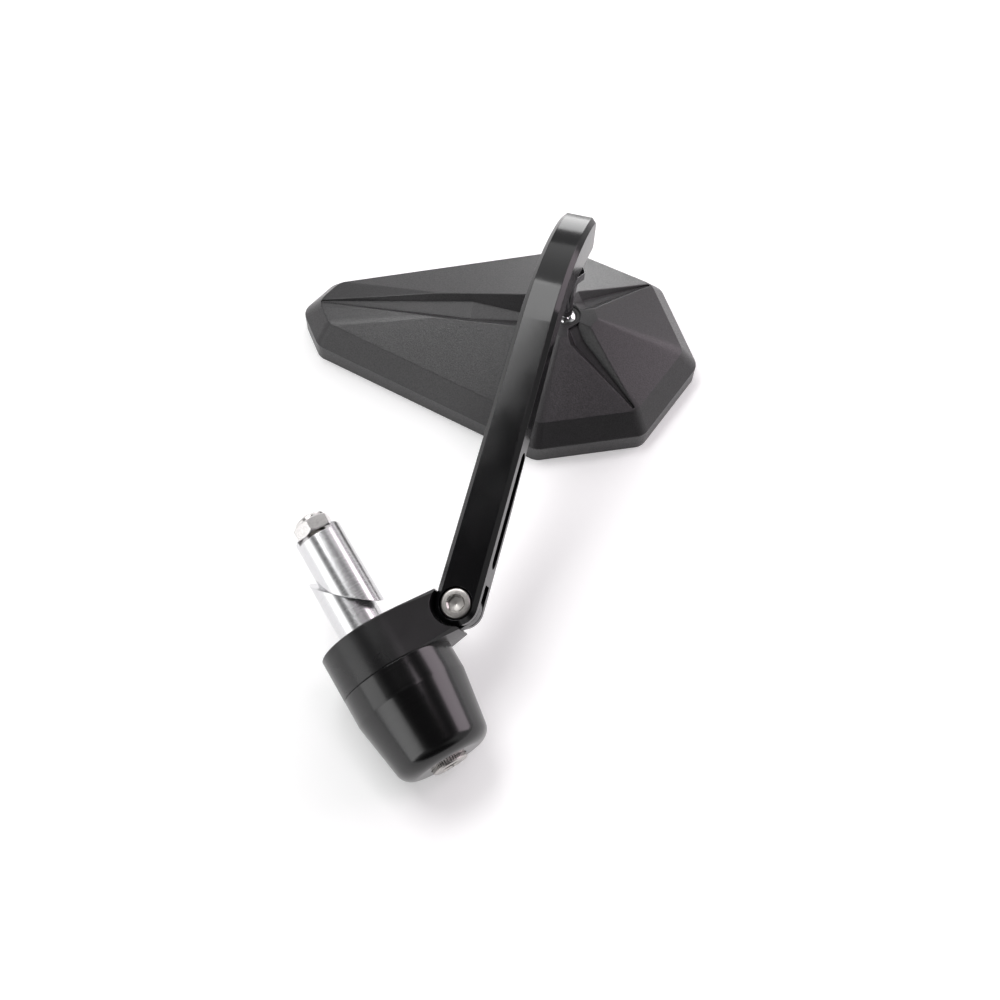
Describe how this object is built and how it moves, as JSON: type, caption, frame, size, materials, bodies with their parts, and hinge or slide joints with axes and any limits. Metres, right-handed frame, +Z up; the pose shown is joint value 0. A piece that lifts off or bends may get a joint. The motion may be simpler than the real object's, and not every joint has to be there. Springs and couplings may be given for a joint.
{
  "type": "motorcycle bar end mirror",
  "caption": "Bar end mirror: faceted head on a ball stud, forked folding arm, turning link, bar weight and wedge expander for the handlebar's bore.",
  "frame": {"origin": "on the bar's axis, in the middle of the expander's full round", "axes": "+Z up from the bench the mirror lies on, +Y away from the bar weight towards the head, +X to the right"},
  "size_m": [0.1256, 0.1852, 0.0612],
  "materials": {
    "weight_black": "satin",
    "bolt_steel": "satin",
    "wedge_aluminium": "polished",
    "nut_steel": "satin",
    "nylon": "satin",
    "link_black": "matte",
    "arm_black": "satin",
    "screw_steel": "satin",
    "nylon_black": "matte",
    "stud_chrome": "polished",
    "housing_black": "matte",
    "plate_steel": "satin",
    "tape_black": "matte",
    "mirror_silver": "polished"
  },
  "bodies": {
    "bar_end": {"bar_weight": "weight_black"},
    "bolt": {"through_bolt": "bolt_steel"},
    "draw": {"draw_wedge": "wedge_aluminium", "lock_nut": "nut_steel", "nut_insert": "nylon"},
    "slip": {"slip_wedge": "wedge_aluminium"},
    "link_body": {"link": "link_black"},
    "arm_body": {"arm": "arm_black", "pivot_screw": "screw_steel", "pivot_washer_upper": "nylon_black", "pivot_washer_lower": "nylon_black"},
    "stud": {"ball_stud": "stud_chrome"},
    "seat": {"ball_seat_upper": "nylon_black", "ball_seat_lower": "nylon_black"},
    "head": {"mirror_housing": "housing_black", "pressure_plate": "plate_steel", "plate_screws": "screw_steel", "spring_washers": "screw_steel", "glass_tape": "tape_black", "mirror_glass": "mirror_silver"}
  },
  "joints": [
    {"name": "bolt_turn", "type": "hinge", "parent": "bar_end", "child": "bolt", "pos_m": [0.01391, -0.02046, -0.00392], "axis": [-0.5552, 0.8169, 0.1564], "range_deg": [-945, 95]},
    {"name": "draw_slide", "type": "slide", "parent": "bar_end", "child": "draw", "axis": [-0.5552, 0.8169, 0.1564], "range_m": [-0.00025, 0.0026]},
    {"name": "slip_slide", "type": "slide", "parent": "bar_end", "child": "slip", "axis": [-0.6909, -0.3482, -0.6336], "range_m": [-0.0027, 0.0003]},
    {"name": "link_swivel", "type": "hinge", "parent": "bar_end", "child": "link_body", "pos_m": [0.01391, -0.02046, -0.00392], "axis": [-0.5552, 0.8169, 0.1564], "continuous": true},
    {"name": "arm_fold", "type": "hinge", "parent": "link_body", "child": "arm_body", "pos_m": [0.03658, -0.01408, 0.00229], "axis": [-0.1734, -0.2976, 0.9388], "range_deg": [-93, 6]},
    {"name": "head_spin", "type": "hinge", "parent": "arm_body", "child": "stud", "pos_m": [0.06334, 0.08681, -0.00273], "axis": [-0.0219, 0.0522, 0.9984], "continuous": true},
    {"name": "head_tilt_a", "type": "hinge", "parent": "stud", "child": "seat", "pos_m": [0.06334, 0.08681, -0.00273], "axis": [0.9943, -0.1063, 0], "range_deg": [-15, 15]},
    {"name": "head_tilt_b", "type": "hinge", "parent": "seat", "child": "head", "pos_m": [0.06334, 0.08681, -0.00273], "axis": [0.1063, 0.9943, 0], "range_deg": [-15, 15]}
  ],
  "couplings": [
    {"joint": "bolt_turn", "follows": "draw_slide", "rad_per_m": -6283.2},
    {"joint": "slip_slide", "follows": "draw_slide", "ratio": -1}
  ]
}
